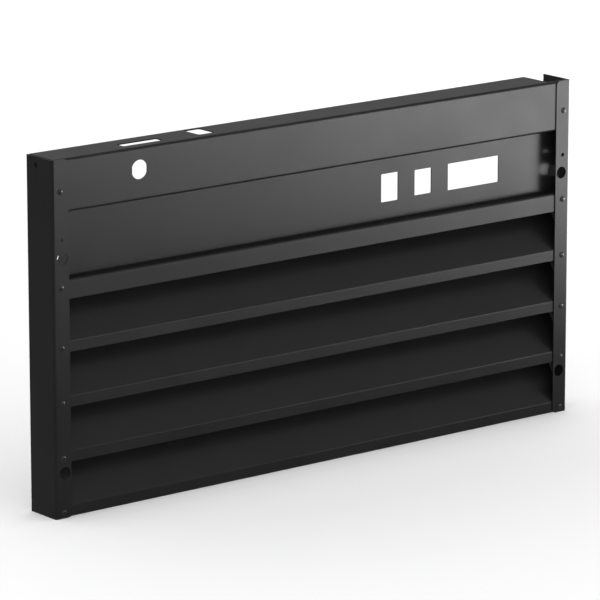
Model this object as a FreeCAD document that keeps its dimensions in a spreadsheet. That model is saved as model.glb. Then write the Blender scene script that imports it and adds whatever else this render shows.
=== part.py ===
import FreeCAD, Part
import math
import os
import Sketcher

# Louvred front panel of a cabinet: folded sheet metal pieces held by blind rivets.
#
# Two side angles carry a header panel, which is one folded sheet with the cut-outs
# for the controls, and a row of louvre blades below it. The lips of the header and
# of the blades lie against the back of the angles' flanges, riveted through both.
#
# Lengths are in millimetres. Every piece is drawn from one corner of the panel: x
# runs right from the outer face of the left angle, y back from the front face of the
# flanges, and z up from the bottom edge. The Placements then put the middle of the
# panel's bottom on the origin.

SIZES = (
    # name, value, what it measures
    ("panel_width", 686.0, "over the outer faces of the two side angles"),
    ("panel_height", 369.0, "length of the side angles"),
    ("panel_depth", 43.0, "front of the flanges to the back edge of the webs"),
    ("sheet", 1.2, "thickness of every folded sheet"),
    ("bend", 1.5, "inside radius of every fold"),
    ("end_gap", 0.3, "end of a cross piece to the start of the angle's fold"),
    ("flange_width", 19.5, "side angle, seen from the front"),
    ("flange_corner", 5.0, "radius of the flange's free corners"),
    ("bolt_hole", 13.0, "diameter of the four fixing holes"),
    ("bolt_inset", 11.5, "fixing hole from the side of the panel"),
    ("bolt_low", 47.0, "lower fixing holes above the bottom"),
    ("bolt_spacing", 221.0, "upper fixing holes above the lower ones"),
    ("pilot_hole", 4.2, "diameter of the small hole above each upper fixing hole"),
    ("pilot_inset", 10.0, "small hole from the side of the panel"),
    ("pilot_rise", 19.5, "small hole above the upper fixing hole"),
    ("web_hole", 5.5, "diameter of the hole in each angle's web"),
    ("web_hole_back", 26.4, "web hole behind the front"),
    ("web_hole_drop", 8.6, "web hole below the top"),
    ("band_height", 54.7, "front band of the header panel"),
    ("recess_depth", 14.5, "control face behind the front of the flanges"),
    ("recess_height", 68.1, "opening between the front band and the shelf"),
    ("rail_height", 20.4, "lip below the shelf"),
    ("top_notch_length", 29.0, "top of the header stops this far from the right side"),
    ("top_notch_front", 4.5, "front of that notch behind the front"),
    ("control_rise", 34.0, "middle of the control cut-outs above the shelf"),
    ("control_corner", 1.0, "corner radius of the control cut-outs"),
    ("display_inset", 124.7, "middle of the display cut-out from the right side"),
    ("display_width", 71.0, "display cut-out"),
    ("display_height", 29.0, "display cut-out"),
    ("switch_width", 23.0, "both switch cut-outs"),
    ("short_switch_inset", 194.8, "middle of the short switch cut-out from the right side"),
    ("short_switch_height", 27.5, "short switch cut-out"),
    ("tall_switch_inset", 240.6, "middle of the tall switch cut-out from the right side"),
    ("tall_switch_height", 30.4, "tall switch cut-out"),
    ("lock_inset", 108.7, "middle of the lock hole from the left side"),
    ("lock_drop", 23.1, "middle of the lock hole below the top"),
    ("lock_hole", 20.0, "diameter of the lock hole"),
    ("lock_flats", 18.6, "between the two flats of the lock hole"),
    ("slot_inset", 123.0, "middle of the top slot from the left side"),
    ("slot_back", 20.0, "middle of the top slot behind the front"),
    ("slot_length", 50.0, "top slot, along the panel"),
    ("slot_width", 12.4, "top slot, front to back"),
    ("slot_corner", 2.0, "corner radius of the top slot"),
    ("window_inset", 202.8, "middle of the top window from the left side"),
    ("window_back", 26.3, "middle of the top window behind the front"),
    ("window_length", 20.5, "top window, along the panel"),
    ("window_width", 26.5, "top window, front to back"),
    ("window_corner", 3.0, "corner radius of the top window"),
    ("blade_foot", 0.9, "lowest blade above the bottom edge"),
    ("blade_pitch", 56.8, "one blade above the next"),
    ("blade_lip", 11.5, "front lip of a blade"),
    ("blade_slope", 56.0, "slope of a blade in degrees, from level"),
    ("blade_reach", 36.0, "front of the blade's back lip behind the front"),
    ("blade_back_lip", 8.0, "back lip of a blade"),
    ("rivet_inset", 9.6, "rivets from the side of the panel"),
    ("blade_rivet_rise", 5.0, "rivet above the lower edge of a blade"),
    ("band_rivet_drop", 32.7, "rivet of the front band below the top"),
    ("rail_rivet_drop", 7.7, "rivet of the rail below the shelf"),
    ("rivet_shank", 3.2, "diameter of the rivet body"),
    ("rivet_clearance", 0.1, "rivet hole over the rivet body"),
    ("rivet_head", 6.2, "diameter of the rivet head"),
    ("rivet_rim", 0.3, "straight edge of the rivet head"),
    ("rivet_dome", 0.8, "rise of the rivet head above its edge"),
    ("rivet_bulb", 4.6, "diameter of the upset blind end"),
    ("rivet_tail", 2.8, "length of the upset blind end"),
    ("rivet_tail_round", 0.6, "rounding of the upset blind end"),
    ("rivet_bore", 1.9, "diameter of the bore through the rivet"),
    ("stem_clearance", 0.1, "rivet bore over the stem"),
    ("stem_drop", 1.6, "broken end of the stem below the top of the head"),
    ("stem_head", 3.0, "diameter of the stem's own head"),
    ("stem_head_length", 0.8, "length of the stem's own head"),
)
BLADES = 4
UPRIGHT = FreeCAD.Vector(0, 0, 1)
ORIGIN_POINT = (-1, 1)
LEVEL_AXIS = -1
UPRIGHT_AXIS = -2
START = 1
END = 2
CENTRE = 3


class Size:
    """A number together with the spreadsheet formula that gives it."""

    def __init__(self, value, formula):
        self.value = value
        self.formula = formula

    def __add__(self, other):
        other = as_size(other)
        return Size(self.value + other.value, f"({self.formula} + {other.formula})")

    def __sub__(self, other):
        other = as_size(other)
        return Size(self.value - other.value, f"({self.formula} - {other.formula})")

    def __mul__(self, other):
        other = as_size(other)
        return Size(self.value * other.value, f"{self.formula} * {other.formula}")

    def __truediv__(self, other):
        other = as_size(other)
        return Size(self.value / other.value, f"{self.formula} / ({other.formula})")

    def __radd__(self, other):
        return as_size(other) + self

    def __rsub__(self, other):
        return as_size(other) - self

    def __rmul__(self, other):
        return as_size(other) * self


def as_size(number):
    """The number itself where it is a Size, or a plain number made into one."""
    return number if isinstance(number, Size) else Size(float(number), repr(float(number)))


def tangent(angle):
    """Tangent of an angle kept in degrees."""
    return Size(math.tan(math.radians(angle.value)), f"tan({angle.formula} * 1 deg)")


doc = FreeCAD.newDocument("louvred_panel")
sheet_of_sizes = doc.addObject("Spreadsheet::Sheet", "Sizes")
size = {}
for row, (name, number, meaning) in enumerate(SIZES, start=1):
    sheet_of_sizes.set(f"A{row}", meaning)
    sheet_of_sizes.set(f"B{row}", str(number))
    sheet_of_sizes.setAlias(f"B{row}", name)
    size[name] = Size(number, f"Sizes.{name}")
doc.recompute()

width = size["panel_width"]
height = size["panel_height"]
depth = size["panel_depth"]
sheet = size["sheet"]
head_height = size["rivet_rim"] + size["rivet_dome"]
cross_start = sheet + size["bend"] + size["end_gap"]     # left end of every cross piece
cross_length = width - 2 * cross_start
corner_of_panel = (0 - width / 2, 0 - (depth - head_height) / 2, as_size(0))


# ---- bodies and sketches -----------------------------------------------------------

def bind(item, path, amount):
    """Ties a property of a document object to the spreadsheet."""
    item.setExpression(path, as_size(amount).formula)


def new_body(label, place):
    """An empty body whose Placement follows the three Sizes in place."""
    body = doc.addObject("PartDesign::Body", label)
    body.Label = label
    for axis, distance in zip("xyz", place):
        bind(body, f"Placement.Base.{axis}", distance)
    return body


def new_sketch(body, name, plane, lift=0):
    """A sketch on one of the body's own planes, lifted along the plane's normal."""
    sketch = body.newObject("Sketcher::SketchObject", f"{body.Label}_{name}")
    for feature in body.Origin.OriginFeatures:
        if feature.Role == plane:
            sketch.AttachmentSupport = [(feature, "")]
    sketch.MapMode = "FlatFace"
    bind(sketch, "AttachmentOffset.Base.z", lift)
    return sketch


def pad(body, sketch, length):
    """The sketch's outline as a solid of that length, along the sketch's normal."""
    feature = body.newObject("PartDesign::Pad", f"{sketch.Name}_pad")
    feature.Profile = sketch
    bind(feature, "Length", length)
    doc.recompute()
    return feature


def cut(body, sketch, length=None):
    """Cuts the sketch out of the body: that far below it, or right through both ways."""
    before = body.Shape.Volume
    feature = body.newObject("PartDesign::Pocket", f"{sketch.Name}_pocket")
    feature.Profile = sketch
    if length is None:
        feature.Type = "ThroughAll"
        feature.SideType = "Symmetric"
    else:
        bind(feature, "Length", length)
    doc.recompute()
    if not body.Shape.Volume < before:
        raise ValueError(f"{sketch.Name} cuts nothing")
    return feature


def round_off(body, feature, radius, is_wanted):
    """Rounds the feature's edges that is_wanted picks by their two ends."""
    names = []
    for number, edge in enumerate(feature.Shape.Edges, start=1):
        points = [vertex.Point for vertex in edge.Vertexes]
        if is_wanted(points[0], points[-1]):
            names.append(f"Edge{number}")
    fillet = body.newObject("PartDesign::Fillet", f"{body.Label}_rounding")
    fillet.Base = (feature, names)
    bind(fillet, "Radius", radius)
    doc.recompute()


# ---- sketch geometry ---------------------------------------------------------------

def tie(sketch, kind, *where):
    """A geometric constraint, which has no size."""
    sketch.addConstraint(Sketcher.Constraint(kind, *where))


def hold(sketch, amount, kind, *where):
    """A dimension that follows the spreadsheet."""
    amount = as_size(amount)
    index = sketch.addConstraint(Sketcher.Constraint(kind, *where, amount.value))
    sketch.setExpression(f"Constraints[{index}]", amount.formula)


def place_across(sketch, distance, item, end):
    """Puts a point of the sketch that far to the right of its origin."""
    if as_size(distance).value:
        hold(sketch, distance, "DistanceX", *ORIGIN_POINT, item, end)
    else:
        tie(sketch, "PointOnObject", item, end, UPRIGHT_AXIS)


def place_up(sketch, distance, item, end):
    """Puts a point of the sketch that far above its origin."""
    if as_size(distance).value:
        hold(sketch, distance, "DistanceY", *ORIGIN_POINT, item, end)
    else:
        tie(sketch, "PointOnObject", item, end, LEVEL_AXIS)


def point_at(corner):
    """The sketch point that a pair of Sizes gives now."""
    return FreeCAD.Vector(as_size(corner[0]).value, as_size(corner[1]).value, 0)


def add_line(sketch, start, end):
    return sketch.addGeometry(Part.LineSegment(start, end))


def add_arc(sketch, centre, radius, start, end):
    """An arc drawn anticlockwise from start to end about the centre."""
    angles = [math.atan2(point.y - centre.y, point.x - centre.x) for point in (start, end)]
    return sketch.addGeometry(Part.ArcOfCircle(Part.Circle(centre, UPRIGHT, radius), *angles))


def left_of(direction):
    return FreeCAD.Vector(-direction.y, direction.x, 0)


def sheet_face(sketch, points, side, distance, is_shown):
    """Draws one face of a folded sheet: its straight lines, joined by tangent arcs.

    points are the sharp corners of the shown face, and distance is how far this face
    lies to the metal's side of it, which is the left (side 1) or the right (side -1).
    """
    legs = [(after - before).normalize() for before, after in zip(points, points[1:])]
    start = points[0] + left_of(legs[0]) * side * distance
    lines = []
    arcs = []
    for corner, leg, next_leg in zip(points[1:], legs, legs[1:]):
        turn = math.atan2(leg.cross(next_leg).z, leg.dot(next_leg))
        is_outside = (turn * side > 0) == is_shown
        radius = size["bend"].value + (sheet.value if is_outside else 0)
        corner = corner + (left_of(leg) - leg * math.tan(turn / 2)) * side * distance
        setback = radius * math.tan(abs(turn) / 2)
        bend_start = corner - leg * setback
        bend_end = corner + next_leg * setback
        centre = bend_start + left_of(leg) * math.copysign(radius, turn)
        lines.append(add_line(sketch, start, bend_start))
        if turn > 0:
            arcs.append((add_arc(sketch, centre, radius, bend_start, bend_end), START, END, is_outside))
        else:
            arcs.append((add_arc(sketch, centre, radius, bend_end, bend_start), END, START, is_outside))
        start = bend_end
    lines.append(add_line(sketch, start, points[-1] + left_of(legs[-1]) * side * distance))
    for line, (arc, first, last, _), next_line in zip(lines, arcs, lines[1:]):
        tie(sketch, "Tangent", line, END, arc, first)
        tie(sketch, "Tangent", arc, last, next_line, START)
    return lines, arcs


def folded_sheet(sketch, corners, side):
    """Closed section of a folded sheet, from the sharp corners of its shown face.

    The metal lies to the left of that path (side 1) or to its right (side -1).
    """
    points = [point_at(corner) for corner in corners]
    shown, shown_arcs = sheet_face(sketch, points, side, 0, True)
    hidden, hidden_arcs = sheet_face(sketch, points, side, sheet.value, False)
    for (shown_arc, _, _, is_outside), (hidden_arc, _, _, _) in zip(shown_arcs, hidden_arcs):
        tie(sketch, "Coincident", shown_arc, CENTRE, hidden_arc, CENTRE)
        hold(sketch, size["bend"], "Radius", hidden_arc if is_outside else shown_arc)
    for i, (line, back) in enumerate(zip(shown, hidden)):
        reach = points[i + 1] - points[i]
        if reach.y == 0:
            tie(sketch, "Horizontal", line)
            place_up(sketch, corners[i][1], line, START)
        elif reach.x == 0:
            tie(sketch, "Vertical", line)
            place_across(sketch, corners[i][0], line, START)
        else:
            hold_slope(sketch, line, corners[i], corners[i + 1])
        tie(sketch, "Parallel", line, back)
    close_end(sketch, shown[0], hidden[0], START)
    close_end(sketch, shown[-1], hidden[-1], END)
    hold(sketch, sheet, "Distance", shown[0], START, hidden[0], START)
    place_end(sketch, shown[0], START, corners[0], points[1] - points[0])
    place_end(sketch, shown[-1], END, corners[-1], points[-1] - points[-2])


def hold_slope(sketch, line, *corners):
    """Makes a sloping line run through two sharp corners."""
    for corner in corners:
        mark = sketch.addGeometry(Part.Point(point_at(corner)), True)
        place_across(sketch, corner[0], mark, START)
        place_up(sketch, corner[1], mark, START)
        tie(sketch, "PointOnObject", mark, START, line)


def close_end(sketch, line, back, end):
    """Closes the cut edge of a sheet, square to its faces."""
    edge = add_line(sketch, sketch.getPoint(line, end), sketch.getPoint(back, end))
    tie(sketch, "Coincident", edge, START, line, end)
    tie(sketch, "Coincident", edge, END, back, end)
    tie(sketch, "Perpendicular", edge, line)


def place_end(sketch, line, end, corner, reach):
    """Stops a level or an upright line at its corner."""
    if reach.y == 0:
        place_across(sketch, corner[0], line, end)
    else:
        place_up(sketch, corner[1], line, end)


def stepped_line(sketch, corners):
    """Level and upright lines from corner to corner, each held where it lies."""
    points = [point_at(corner) for corner in corners]
    lines = [add_line(sketch, start, end) for start, end in zip(points, points[1:])]
    for line, next_line in zip(lines, lines[1:]):
        tie(sketch, "Coincident", line, END, next_line, START)
    for line, corner, start, end in zip(lines, corners, points, points[1:]):
        if start.y == end.y:
            tie(sketch, "Horizontal", line)
            place_up(sketch, corner[1], line, START)
        else:
            tie(sketch, "Vertical", line)
            place_across(sketch, corner[0], line, START)
    return lines


def closed_steps(sketch, corners):
    """A closed loop of level and upright lines."""
    lines = stepped_line(sketch, corners + corners[:1])
    tie(sketch, "Coincident", lines[-1], END, lines[0], START)


def rounded_rectangle(sketch, across, up, length, tall, radius):
    """A rectangle about the point (across, up), with four equal round corners."""
    right, left = across + length / 2, across - length / 2
    top, bottom = up + tall / 2, up - tall / 2
    corners = ((left, bottom), (right, bottom), (right, top), (left, top))
    points = [point_at(corner) for corner in corners]
    lines = []
    arcs = []
    for point, next_point, after in zip(points, points[1:] + points[:1], points[2:] + points[:2]):
        leg = (next_point - point).normalize()
        next_leg = (after - next_point).normalize()
        first = next_point - leg * radius.value
        last = next_point + next_leg * radius.value
        lines.append(add_line(sketch, point + leg * radius.value, first))
        arcs.append(add_arc(sketch, first + next_leg * radius.value, radius.value, first, last))
    for line, arc, next_line in zip(lines, arcs, lines[1:] + lines[:1]):
        tie(sketch, "Tangent", line, END, arc, START)
        tie(sketch, "Tangent", arc, END, next_line, START)
    for arc in arcs[1:]:
        tie(sketch, "Equal", arcs[0], arc)
    hold(sketch, radius, "Radius", arcs[0])
    for line, distance in zip(lines[0::2], (bottom, top)):
        tie(sketch, "Horizontal", line)
        place_up(sketch, distance, line, START)
    for line, distance in zip(lines[1::2], (right, left)):
        tie(sketch, "Vertical", line)
        place_across(sketch, distance, line, START)


def round_hole(sketch, across, up, diameter):
    centre = point_at((across, up))
    circle = sketch.addGeometry(Part.Circle(centre, UPRIGHT, diameter.value / 2))
    hold(sketch, diameter, "Diameter", circle)
    place_across(sketch, across, circle, CENTRE)
    place_up(sketch, up, circle, CENTRE)


def double_d_hole(sketch, across, up, diameter, flats):
    """A round hole with two upright flats, which stops a lock barrel turning."""
    centre = point_at((across, up))
    half = flats.value / 2
    rise = math.sqrt((diameter.value / 2) ** 2 - half ** 2)
    ends = [centre + FreeCAD.Vector(half * i, rise * j, 0) for i, j in ((1, -1), (1, 1), (-1, 1), (-1, -1))]
    right = add_line(sketch, ends[0], ends[1])
    top = add_arc(sketch, centre, diameter.value / 2, ends[1], ends[2])
    left = add_line(sketch, ends[2], ends[3])
    bottom = add_arc(sketch, centre, diameter.value / 2, ends[3], ends[0])
    for item, next_item in ((right, top), (top, left), (left, bottom), (bottom, right)):
        tie(sketch, "Coincident", item, END, next_item, START)
    tie(sketch, "Coincident", top, CENTRE, bottom, CENTRE)
    tie(sketch, "Equal", top, bottom)
    tie(sketch, "Vertical", right)
    tie(sketch, "Vertical", left)
    hold(sketch, diameter, "Diameter", top)
    place_across(sketch, across, top, CENTRE)
    place_up(sketch, up, top, CENTRE)
    place_across(sketch, across + flats / 2, right, START)
    place_across(sketch, across - flats / 2, left, START)


# ---- places that more than one piece follows -----------------------------------------

shelf_top = height - size["band_height"] - size["recess_height"]
bolt_high = size["bolt_low"] + size["bolt_spacing"]
rivet_hole = size["rivet_shank"] + size["rivet_clearance"]
blade_feet = [size["blade_foot"] + size["blade_pitch"] * i for i in range(BLADES)]
header_rivets = [height - size["band_rivet_drop"], shelf_top - size["rail_rivet_drop"]]
blade_rivets = [foot + size["blade_rivet_rise"] for foot in blade_feet]
rivet_heights = header_rivets + blade_rivets[::-1]


def from_side(side, distance):
    """x of a point that far in from the left or right side of the panel."""
    return as_size(distance) if side == "left" else width - distance


def rivet_holes(sketch, heights, sides):
    """A rivet hole at each height, near each of the sides."""
    for side in sides:
        for level in heights:
            round_hole(sketch, from_side(side, size["rivet_inset"]), level, rivet_hole)


# ---- the pieces ------------------------------------------------------------------------

def side_angle(side):
    """One side of the panel: a flange in front and a web that runs back."""
    outer = from_side(side, 0)
    free_edge = from_side(side, size["flange_width"])
    body = new_body(f"{side}_side_angle", corner_of_panel)
    section = new_sketch(body, "section", "XY_Plane")
    path = [(outer, depth), (outer, 0), (free_edge, 0)]
    folded_sheet(section, path if side == "left" else path[::-1], 1)
    angle = pad(body, section, height)

    def is_free_corner(start, end):
        along = abs(start.x - free_edge.value) + abs(end.x - free_edge.value)
        return along < sheet.value / 2 and abs(start.z - end.z) < sheet.value / 2

    round_off(body, angle, size["flange_corner"], is_free_corner)
    holes = new_sketch(body, "flange_holes", "XZ_Plane")
    for level in (size["bolt_low"], bolt_high):
        round_hole(holes, from_side(side, size["bolt_inset"]), level, size["bolt_hole"])
    pilot_level = bolt_high + size["pilot_rise"]
    round_hole(holes, from_side(side, size["pilot_inset"]), pilot_level, size["pilot_hole"])
    rivet_holes(holes, rivet_heights, [side])
    cut(body, holes)
    web_hole = new_sketch(body, "web_hole", "YZ_Plane")
    round_hole(web_hole, size["web_hole_back"], height - size["web_hole_drop"], size["web_hole"])
    cut(body, web_hole)


def header_panel():
    """The top of the panel: top, front band, recessed control face, shelf and rail."""
    band_low = height - size["band_height"]
    body = new_body("header_panel", corner_of_panel)
    section = new_sketch(body, "section", "YZ_Plane", cross_start)
    folded_sheet(section, [
        (depth, height),
        (sheet, height),
        (sheet, band_low),
        (size["recess_depth"], band_low),
        (size["recess_depth"], shelf_top),
        (sheet, shelf_top),
        (sheet, shelf_top - size["rail_height"]),
    ], 1)
    pad(body, section, cross_length)

    front = new_sketch(body, "front_holes", "XZ_Plane")
    rivet_holes(front, header_rivets, ["left", "right"])
    for side in ("left", "right"):
        round_hole(front, from_side(side, size["bolt_inset"]), bolt_high, size["bolt_hole"])
    double_d_hole(front, size["lock_inset"], height - size["lock_drop"],
                  size["lock_hole"], size["lock_flats"])
    controls = (("display_inset", "display_width", "display_height"),
                ("short_switch_inset", "switch_width", "short_switch_height"),
                ("tall_switch_inset", "switch_width", "tall_switch_height"))
    for inset, length, tall in controls:
        rounded_rectangle(front, width - size[inset], shelf_top + size["control_rise"],
                          size[length], size[tall], size["control_corner"])
    cut(body, front)

    top = new_sketch(body, "top_holes", "XY_Plane", height)
    rounded_rectangle(top, size["slot_inset"], size["slot_back"],
                      size["slot_length"], size["slot_width"], size["slot_corner"])
    rounded_rectangle(top, size["window_inset"], size["window_back"],
                      size["window_length"], size["window_width"], size["window_corner"])
    notch_left = width - size["top_notch_length"]
    closed_steps(top, [(notch_left, size["top_notch_front"]), (width, size["top_notch_front"]),
                       (width, depth), (notch_left, depth)])
    cut(body, top, 2 * sheet)


def louvre_blade(number, foot):
    """One blade: a front lip, a slope that rises to the back, and a back lip."""
    lip_top = foot + size["blade_lip"]
    slope_top = lip_top + (size["blade_reach"] - sheet) * tangent(size["blade_slope"])
    body = new_body(f"louvre_blade_{number}", corner_of_panel)
    section = new_sketch(body, "section", "YZ_Plane", cross_start)
    folded_sheet(section, [
        (sheet, foot),
        (sheet, lip_top),
        (size["blade_reach"], slope_top),
        (size["blade_reach"], slope_top + size["blade_back_lip"]),
    ], -1)
    pad(body, section, cross_length)
    holes = new_sketch(body, "rivet_holes", "XZ_Plane")
    rivet_holes(holes, [foot + size["blade_rivet_rise"]], ["left", "right"])
    cut(body, holes)


def revolve(body, sketch):
    """Turns the sketch once about its upright axis, which is the rivet's own axis."""
    feature = body.newObject("PartDesign::Revolution", f"{sketch.Name}_turned")
    feature.Profile = sketch
    feature.ReferenceAxis = (sketch, ["V_Axis"])
    doc.recompute()
    return feature


blind_end = head_height + 2 * sheet + size["rivet_tail"]     # below the top of the head


def blind_rivet(label, place):
    """A set blind rivet: domed head, body through two sheets and upset blind end."""
    bore, shank = size["rivet_bore"] / 2, size["rivet_shank"] / 2
    head, bulb = size["rivet_head"] / 2, size["rivet_bulb"] / 2
    dome_radius = (head * head + size["rivet_dome"] * size["rivet_dome"]) / (2 * size["rivet_dome"])
    body = new_body(label, place)
    profile = new_sketch(body, "profile", "XY_Plane")
    lines = stepped_line(profile, [
        (head, size["rivet_dome"]),
        (head, head_height),
        (shank, head_height),
        (shank, head_height + 2 * sheet),
        (bulb, head_height + 2 * sheet),
        (bulb, blind_end),
        (bore, blind_end),
        (bore, as_size(0)),
    ])
    centre = FreeCAD.Vector(0, dome_radius.value, 0)
    arc = add_arc(profile, centre, dome_radius.value, point_at((bore, 0)),
                  point_at((head, size["rivet_dome"])))
    tie(profile, "Coincident", lines[-1], END, arc, START)
    tie(profile, "Coincident", arc, END, lines[0], START)
    tie(profile, "PointOnObject", arc, CENTRE, UPRIGHT_AXIS)
    hold(profile, dome_radius, "Radius", arc)
    place_up(profile, size["rivet_dome"], lines[0], START)
    turned = revolve(body, profile)

    def is_blind_rim(start, end):
        reach = math.hypot(start.x, start.z) - bulb.value
        return start == end and abs(reach) + abs(start.y - blind_end.value) < sheet.value / 10

    round_off(body, turned, size["rivet_tail_round"], is_blind_rim)


def rivet_stem(label, place):
    """What stays of the stem that set the rivet, from its broken end to its own head."""
    stem = (size["rivet_bore"] - size["stem_clearance"]) / 2
    stem_end = blind_end + size["stem_head_length"]
    body = new_body(label, place)
    profile = new_sketch(body, "profile", "XY_Plane")
    closed_steps(profile, [
        (0, size["stem_drop"]),
        (stem, size["stem_drop"]),
        (stem, blind_end),
        (size["stem_head"] / 2, blind_end),
        (size["stem_head"] / 2, stem_end),
        (0, stem_end),
    ])
    revolve(body, profile)


for side in ("left", "right"):
    side_angle(side)
header_panel()
for number, foot in enumerate(blade_feet, start=1):
    louvre_blade(number, foot)
for side in ("left", "right"):
    for number, level in enumerate(rivet_heights, start=1):
        place = (corner_of_panel[0] + from_side(side, size["rivet_inset"]),
                 corner_of_panel[1] - head_height,
                 corner_of_panel[2] + level)
        blind_rivet(f"rivet_{side}_{number}", place)
        rivet_stem(f"rivet_stem_{side}_{number}", place)
doc.recompute()

# ---- checks and files --------------------------------------------------------------------

pieces = [item for item in doc.Objects if item.isDerivedFrom("PartDesign::Body")]
for item in doc.Objects:
    if "Invalid" in item.State or "Error" in item.State:
        raise ValueError(f"{item.Label} failed to build")
for sketch in doc.findObjects("Sketcher::SketchObject"):
    if not sketch.FullyConstrained:
        raise ValueError(f"{sketch.Label} has a size that nothing sets")
for piece in pieces:
    if piece.Shape.isNull() or not piece.Shape.isValid() or len(piece.Shape.Solids) != 1:
        raise ValueError(f"{piece.Label} is not one sound solid")
os.makedirs("parts", exist_ok=True)
for piece in pieces:
    piece.Shape.exportStep(f"parts/{piece.Label}.step")
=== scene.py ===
"""Looks of the louvred sheet metal panel: black powder coat, rivets, studio."""
import math
import bmesh
import bpy
from mathutils import Matrix, Vector


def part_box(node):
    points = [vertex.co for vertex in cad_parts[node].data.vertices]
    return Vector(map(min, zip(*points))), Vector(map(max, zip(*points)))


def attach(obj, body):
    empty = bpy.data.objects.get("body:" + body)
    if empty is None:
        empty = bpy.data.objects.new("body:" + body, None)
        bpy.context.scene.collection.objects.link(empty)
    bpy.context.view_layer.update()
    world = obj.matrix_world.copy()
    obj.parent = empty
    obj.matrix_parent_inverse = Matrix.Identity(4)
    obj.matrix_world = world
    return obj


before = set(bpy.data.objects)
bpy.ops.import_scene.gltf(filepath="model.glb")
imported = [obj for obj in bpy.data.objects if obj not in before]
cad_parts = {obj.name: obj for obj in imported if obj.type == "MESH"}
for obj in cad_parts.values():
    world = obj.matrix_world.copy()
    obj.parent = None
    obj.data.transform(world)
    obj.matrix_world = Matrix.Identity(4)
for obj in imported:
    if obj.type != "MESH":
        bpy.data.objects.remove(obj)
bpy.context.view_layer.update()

# Camera: a long lens, far away, to the left of the panel's front and above it.
LENS = 272.3                              # mm
SENSOR = 36                               # mm
CAMERA_AT = (-2.882, -3.6015, 1.289)      # metres from the middle of the panel's foot
CAMERA_PITCH = 76.39                      # degrees from straight down
CAMERA_YAW = -38.54                       # degrees from straight at the front
CLIP_END = 100                            # metres, past the whole floor

# Tab at the left end of the header, which closes the hole in the angle's web.
# The photograph shows that hole dark; the solids leave it open. Metres.
SHEET = 0.0012
TAB_LENGTH = 0.032
TAB_HEIGHT = 0.0165
TAB_CORNER = 0.003                        # radius of its two lower corners
CORNER_STEPS = 8

# Finishes. Scales of noise are in cells per metre, depths of bump in metres.
NOISE_RANGE = (0.3, 0.7)                  # where most of the noise lies
SHINE = "Specular IOR Level"
COAT_DARK, COAT_LIGHT = (0.0085, 0.0085, 0.009), (0.0125, 0.0125, 0.013)
COAT_ROUGHNESS = (0.29, 0.34)
COAT_SHINE = 0.42
COAT_CLOUD = 22
COAT_PEEL, PEEL_DEPTH = 900, 0.0002
COAT_GRAIN, GRAIN_DEPTH = 4200, 0.0001
COAT_BUMP = 0.10
RIVET_DARK, RIVET_LIGHT = (0.010, 0.010, 0.0105), (0.020, 0.020, 0.021)
RIVET_ROUGHNESS = (0.20, 0.30)
RIVET_SHINE = 0.8
RIVET_CLOUD = 700
RIVET_GRAIN, RIVET_DEPTH = 2500, 0.0001
RIVET_BUMP = 0.15
STEM_DARK, STEM_LIGHT = (0.03, 0.03, 0.031), (0.10, 0.10, 0.10)
STEM_ROUGHNESS = (0.35, 0.6)
STEM_GRAIN, STEM_DEPTH = 3000, 0.0001
STEM_BUMP = 0.4

# Studio. Metres.
FLOOR_RADIUS = 16.0
FLOOR_STEPS = 96
FLOOR_COLOUR = (0.93, 0.93, 0.93, 1)
FLOOR_ROUGHNESS = 0.9
FLOOR_SHINE = 0.1
CARD_HEIGHT = 0.0006                      # keeps the card clear of the floor
WORLD_STRENGTH = 1.13
KEY_AT, KEY_AIM = (1.75, -1.35, 0.32), (0.1, 0, 0.25)
KEY_SIZE = (0.8, 0.6)
KEY_WATTS = 2.5

# What the coat alone reflects: an even grey dome, and over the floor a card of painted
# reflection that glows for reflections only. The photograph's studio isn't known, so
# these greys were fitted to how bright the panel is in it, from left to right and from
# top to bottom.
DOME_RADIUS = 7.0
DOME_STEPS = (48, 24)
DOME_GREY = 0.30                          # all around and above
PAINTED_REFLECTION_GLOW = 9.3                          # brightest part of the painted reflection card
PAINTED_REFLECTION_FROM = -1.0                    # along X, where the stops below start and end
PAINTED_REFLECTION_TO = 3.0
PAINTED_REFLECTION_STOPS = ((0.0, 0.012), (0.40, 0.02), (0.45, 0.10), (0.52, 0.42),
                    (0.62, 1.0), (0.74, 1.0), (0.86, 0.15), (1.0, 0.05))


# ---- node helpers --------------------------------------------------------------

def new_material(name):
    """A new material with its node tree and its Principled shader."""
    material = bpy.data.materials.new(name)
    material.use_nodes = True
    return material, material.node_tree, material.node_tree.nodes["Principled BSDF"]


def add_node(tree, kind, **sockets):
    """A node with values for its inputs, named with _ for a space."""
    node = tree.nodes.new(kind)
    for name, value in sockets.items():
        node.inputs[name.replace("_", " ")].default_value = value
    return node


def object_noise(tree, scale, detail):
    """Noise over the object's own coordinates, in cells per metre."""
    place = add_node(tree, "ShaderNodeTexCoord")
    noise = add_node(tree, "ShaderNodeTexNoise", Scale=scale, Detail=detail)
    tree.links.new(place.outputs["Object"], noise.inputs["Vector"])
    return noise.outputs["Fac"]


def spread(tree, value, low, high):
    """The value stretched over a range, as a socket to link."""
    start, end = NOISE_RANGE
    node = add_node(tree, "ShaderNodeMapRange",
                    From_Min=start, From_Max=end, To_Min=low, To_Max=high)
    tree.links.new(value, node.inputs["Value"])
    return node.outputs["Result"]


def tint(tree, value, dark, light):
    """A colour between dark and light, by the value."""
    ramp = tree.nodes.new("ShaderNodeValToRGB")
    ramp.color_ramp.elements[0].color = (*dark, 1)
    ramp.color_ramp.elements[1].color = (*light, 1)
    tree.links.new(value, ramp.inputs["Fac"])
    return ramp.outputs["Color"]


# ---- materials -----------------------------------------------------------------

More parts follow.
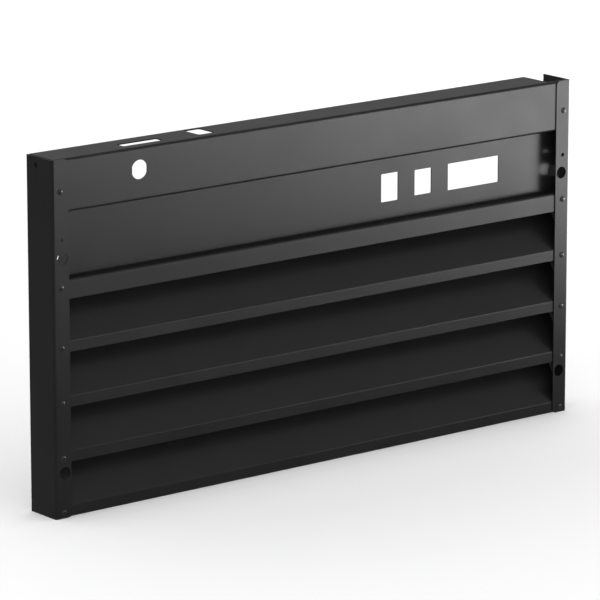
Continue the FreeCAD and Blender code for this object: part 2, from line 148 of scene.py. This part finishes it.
def powder_coat():
    """Black semi-gloss powder coat: fine orange peel, gloss that varies a little."""
    material, tree, shader = new_material("black_powder_coat")
    cloud = object_noise(tree, COAT_CLOUD, 3)
    colour = tint(tree, cloud, COAT_DARK, COAT_LIGHT)
    tree.links.new(colour, shader.inputs["Base Color"])
    tree.links.new(spread(tree, cloud, *COAT_ROUGHNESS), shader.inputs["Roughness"])
    shader.inputs[SHINE].default_value = COAT_SHINE
    peel = add_node(tree, "ShaderNodeBump", Strength=COAT_BUMP, Distance=PEEL_DEPTH)
    grain = add_node(tree, "ShaderNodeBump", Strength=COAT_BUMP, Distance=GRAIN_DEPTH)
    tree.links.new(object_noise(tree, COAT_PEEL, 2), peel.inputs["Height"])
    tree.links.new(object_noise(tree, COAT_GRAIN, 1), grain.inputs["Height"])
    tree.links.new(peel.outputs["Normal"], grain.inputs["Normal"])
    tree.links.new(grain.outputs["Normal"], shader.inputs["Normal"])
    return material


def rivet_paint():
    """The same black on the rivets, a little glossier where the head was pressed."""
    material, tree, shader = new_material("rivet_black")
    cloud = object_noise(tree, RIVET_CLOUD, 2)
    colour = tint(tree, cloud, RIVET_DARK, RIVET_LIGHT)
    tree.links.new(colour, shader.inputs["Base Color"])
    tree.links.new(spread(tree, cloud, *RIVET_ROUGHNESS), shader.inputs["Roughness"])
    shader.inputs[SHINE].default_value = RIVET_SHINE
    bump = add_node(tree, "ShaderNodeBump", Strength=RIVET_BUMP, Distance=RIVET_DEPTH)
    tree.links.new(object_noise(tree, RIVET_GRAIN, 2), bump.inputs["Height"])
    tree.links.new(bump.outputs["Normal"], shader.inputs["Normal"])
    return material


def stem_steel():
    """Dark steel of the broken stems, rough where they snapped."""
    material, tree, shader = new_material("stem_steel")
    cloud = object_noise(tree, STEM_GRAIN, 4)
    colour = tint(tree, cloud, STEM_DARK, STEM_LIGHT)
    tree.links.new(colour, shader.inputs["Base Color"])
    tree.links.new(spread(tree, cloud, *STEM_ROUGHNESS), shader.inputs["Roughness"])
    shader.inputs["Metallic"].default_value = 1.0
    bump = add_node(tree, "ShaderNodeBump", Strength=STEM_BUMP, Distance=STEM_DEPTH)
    tree.links.new(cloud, bump.inputs["Height"])
    tree.links.new(bump.outputs["Normal"], shader.inputs["Normal"])
    return material


# ---- the object ----------------------------------------------------------------

def dress(material, *prefixes):
    """Gives the material to the CAD nodes whose names start with a prefix."""
    for name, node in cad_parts.items():
        if name.startswith(prefixes):
            node.data.materials.clear()
            node.data.materials.append(material)


def shape_object(name, shape, material):
    """Turns a finished bmesh into an object."""
    mesh = bpy.data.meshes.new(name)
    shape.to_mesh(mesh)
    shape.free()
    item = bpy.data.objects.new(name, mesh)
    bpy.context.scene.collection.objects.link(item)
    item.data.materials.append(material)
    return item


def end_tab(material):
    """A tab behind the left web hole, taken as folded from the header's top."""
    low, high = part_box("left_side_angle")
    x, y, z = low.x + SHEET, high.y - TAB_LENGTH, high.z - SHEET - TAB_HEIGHT
    middle_z = z + TAB_HEIGHT / 2
    shape = bmesh.new()
    size = Matrix.Diagonal((SHEET, TAB_LENGTH, TAB_HEIGHT, 1))
    middle = Matrix.Translation((x + SHEET / 2, y + TAB_LENGTH / 2, middle_z))
    bmesh.ops.create_cube(shape, size=1, matrix=middle @ size)
    lower_corners = [edge for edge in shape.edges
                     if abs(edge.verts[0].co.x - edge.verts[1].co.x) > SHEET / 2
                     and edge.verts[0].co.z < middle_z]
    bmesh.ops.bevel(shape, geom=lower_corners, offset=TAB_CORNER,
                    segments=CORNER_STEPS, affect="EDGES")
    tab = shape_object("header_end_tab", shape, material)
    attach(tab, "root")


# ---- studio --------------------------------------------------------------------

def add_camera():
    """The camera at the photograph's viewing angle."""
    camera = bpy.data.objects.new("camera", bpy.data.cameras.new("camera"))
    bpy.context.scene.collection.objects.link(camera)
    camera.data.sensor_width = SENSOR
    camera.data.lens = LENS
    camera.data.clip_end = CLIP_END
    camera.location = CAMERA_AT
    camera.rotation_euler = (math.radians(CAMERA_PITCH), 0, math.radians(CAMERA_YAW))
    bpy.context.scene.camera = camera


def disc(name, radius, height, material):
    """A flat round sheet, level, at a height."""
    shape = bmesh.new()
    bmesh.ops.create_circle(shape, cap_ends=True, segments=FLOOR_STEPS, radius=radius,
                            matrix=Matrix.Translation((0, 0, height)))
    return shape_object(name, shape, material)


def glow(name, strength):
    """A plain material that gives off an even grey."""
    material = bpy.data.materials.new(name)
    material.use_nodes = True
    tree = material.node_tree
    tree.nodes.clear()
    light = add_node(tree, "ShaderNodeEmission", Strength=strength)
    output = tree.nodes.new("ShaderNodeOutputMaterial")
    tree.links.new(light.outputs["Emission"], output.inputs["Surface"])
    return material


def painted_reflection_material():
    """Painted reflection over the floor, seen only by the coat: dark at the left, then
    bright, then dark.
    """
    material = glow("painted_reflection_glow", PAINTED_REFLECTION_GLOW)
    tree = material.node_tree
    place = tree.nodes.new("ShaderNodeTexCoord")
    axes = tree.nodes.new("ShaderNodeSeparateXYZ")
    along = add_node(tree, "ShaderNodeMapRange",
                     From_Min=PAINTED_REFLECTION_FROM, From_Max=PAINTED_REFLECTION_TO)
    ramp = tree.nodes.new("ShaderNodeValToRGB")
    stops = ramp.color_ramp.elements
    while len(stops) < len(PAINTED_REFLECTION_STOPS):
        stops.new(1.0)
    for stop, (position, grey) in zip(stops, PAINTED_REFLECTION_STOPS):
        stop.position = position
        stop.color = (grey, grey, grey, 1)
    tree.links.new(place.outputs["Object"], axes.inputs["Vector"])
    tree.links.new(axes.outputs["X"], along.inputs["Value"])
    tree.links.new(along.outputs["Result"], ramp.inputs["Fac"])
    emission = next(node for node in tree.nodes if node.type == "EMISSION")
    tree.links.new(ramp.outputs["Color"], emission.inputs["Color"])
    return material


def only_reflected(item):
    """Leaves the item out of everything but reflections."""
    item.visible_camera = False
    item.visible_diffuse = False
    item.visible_transmission = False
    item.visible_volume_scatter = False
    item.visible_shadow = False


def add_floor():
    """A white floor, with surroundings of other greys that only reflections see: a grey
    dome and a card of painted reflection.
    """
    material, _, shader = new_material("white_floor")
    shader.inputs["Base Color"].default_value = FLOOR_COLOUR
    shader.inputs["Roughness"].default_value = FLOOR_ROUGHNESS
    shader.inputs[SHINE].default_value = FLOOR_SHINE
    floor = disc("floor", FLOOR_RADIUS, 0, material)
    # The card paints reflections: a glow graded along X that only reflections see, not
    # a lamp.
    card = disc("painted_reflection_card", FLOOR_RADIUS, CARD_HEIGHT, painted_reflection_material())
    shape = bmesh.new()
    around, upward = DOME_STEPS
    bmesh.ops.create_uvsphere(shape, u_segments=around, v_segments=upward,
                              radius=DOME_RADIUS)
    dome = shape_object("dome", shape, glow("dome_grey", DOME_GREY))
    only_reflected(card)
    only_reflected(dome)


def soft_box(name, at, aim, size, watts):
    """A rectangular light at a point, aimed at another."""
    light = bpy.data.lights.new(name, "AREA")
    light.shape = "RECTANGLE"
    light.size, light.size_y = size
    light.energy = watts
    lamp = bpy.data.objects.new(name, light)
    bpy.context.scene.collection.objects.link(lamp)
    lamp.location = at
    lamp.rotation_euler = (Vector(aim) - Vector(at)).to_track_quat("-Z", "Y").to_euler()


def add_world(strength):
    """An even white sky."""
    world = bpy.data.worlds.new("studio")
    world.use_nodes = True
    background = world.node_tree.nodes["Background"]
    background.inputs["Color"].default_value = (1, 1, 1, 1)
    background.inputs["Strength"].default_value = strength
    bpy.context.scene.world = world


coat = powder_coat()
end_tab(coat)
dress(coat, "left_", "right_", "header_", "louvre_")
dress(rivet_paint(), "rivet_left", "rivet_right")
dress(stem_steel(), "rivet_stem")
add_camera()
add_floor()
add_world(WORLD_STRENGTH)
soft_box("key", KEY_AT, KEY_AIM, KEY_SIZE, KEY_WATTS)
bpy.context.scene.view_settings.view_transform = "Standard"
